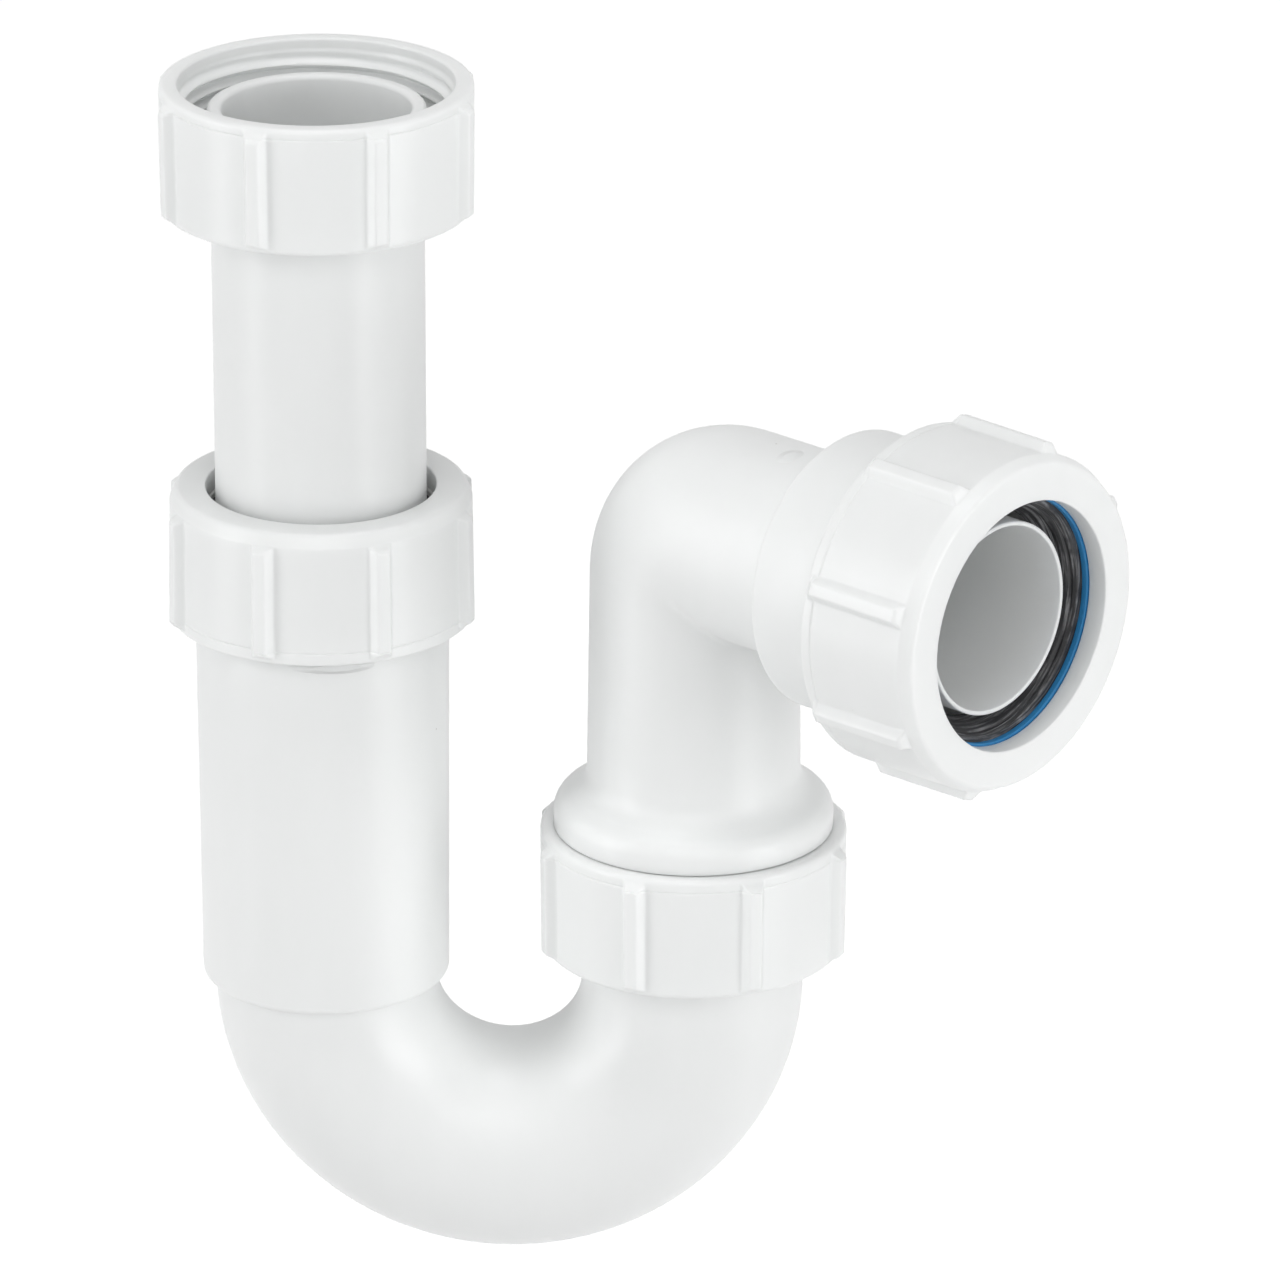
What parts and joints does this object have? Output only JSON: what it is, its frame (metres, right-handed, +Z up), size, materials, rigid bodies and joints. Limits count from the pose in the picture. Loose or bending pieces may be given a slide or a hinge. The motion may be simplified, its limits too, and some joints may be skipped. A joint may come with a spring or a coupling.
{
  "type": "tubular swivel p-trap",
  "caption": "White plastic tubular trap with a telescopic inlet tube, U-bend water seal and swivelling side outlet elbow, joined by screwed nuts.",
  "frame": {"origin": "on the inlet axis, at the top face of the inlet washer, where the sink waste seats", "axes": "+Z up along the inlet axis; +X from the inlet leg to the second leg of the U-bend"},
  "size_m": [0.1696, 0.099, 0.2204],
  "materials": {
    "white_moulding": "satin moulded polypropylene",
    "white_washer": "soft polyethylene",
    "blue_washer": "smooth blue slip washer",
    "black_rubber": "dull moulded rubber"
  },
  "bodies": {
    "inlet_nut": {"inlet_nut": "white_moulding"},
    "inlet_tube": {"inlet_tube": "white_moulding", "inlet_washer": "white_washer"},
    "trap": {"trap_body": "white_moulding", "socket_seal": "black_rubber"},
    "socket_slip_washer": {"socket_slip_washer": "blue_washer"},
    "socket_nut": {"socket_nut": "white_moulding"},
    "swivel_nut": {"swivel_nut": "white_moulding"},
    "swivel_washer": {"swivel_washer": "white_washer"},
    "elbow": {"outlet_elbow": "white_moulding", "outlet_seal": "black_rubber"},
    "outlet_slip_washer": {"outlet_slip_washer": "blue_washer"},
    "outlet_nut": {"outlet_nut": "white_moulding"}
  },
  "joints": [
    {"name": "inlet_turn", "type": "hinge", "parent": "inlet_nut", "child": "inlet_tube", "pos_m": [0, 0, 0], "axis": [0, 0, 1], "continuous": true},
    {"name": "telescope", "type": "slide", "parent": "inlet_tube", "child": "trap", "axis": [0, 0, 1], "range_m": [-0.035, 0.024]},
    {"name": "socket_nut_lift", "type": "slide", "parent": "trap", "child": "socket_slip_washer", "axis": [0, 0, 1], "range_m": [0, 0.01386]},
    {"name": "socket_nut_turn", "type": "hinge", "parent": "socket_slip_washer", "child": "socket_nut", "pos_m": [0, 0, -0.07], "axis": [0, 0, 1], "range_deg": [0, 2160]},
    {"name": "swivel_nut_turn", "type": "hinge", "parent": "trap", "child": "swivel_nut", "pos_m": [0.066, 0, -0.137], "axis": [0, 0, -1], "range_deg": [0, 1800]},
    {"name": "elbow_lift", "type": "slide", "parent": "trap", "child": "swivel_washer", "axis": [0, 0, 1], "range_m": [0, 0.01155]},
    {"name": "elbow_swivel", "type": "hinge", "parent": "swivel_washer", "child": "elbow", "pos_m": [0.066, 0, -0.13], "axis": [0, 0, 1], "range_deg": [-66, 148]},
    {"name": "outlet_nut_advance", "type": "slide", "parent": "elbow", "child": "outlet_slip_washer", "axis": [0.7547, -0.6561, 0], "range_m": [0, 0.01386]},
    {"name": "outlet_nut_turn", "type": "hinge", "parent": "outlet_slip_washer", "child": "outlet_nut", "pos_m": [0.11392, -0.04166, -0.0676], "axis": [0.7547, -0.6561, 0], "range_deg": [0, 2160]}
  ],
  "couplings": [
    {"joint": "socket_nut_lift", "follows": "socket_nut_turn", "m_per_rad": 0.0003675},
    {"joint": "elbow_lift", "follows": "swivel_nut_turn", "m_per_rad": 0.0003675},
    {"joint": "outlet_nut_advance", "follows": "outlet_nut_turn", "m_per_rad": 0.0003675}
  ]
}
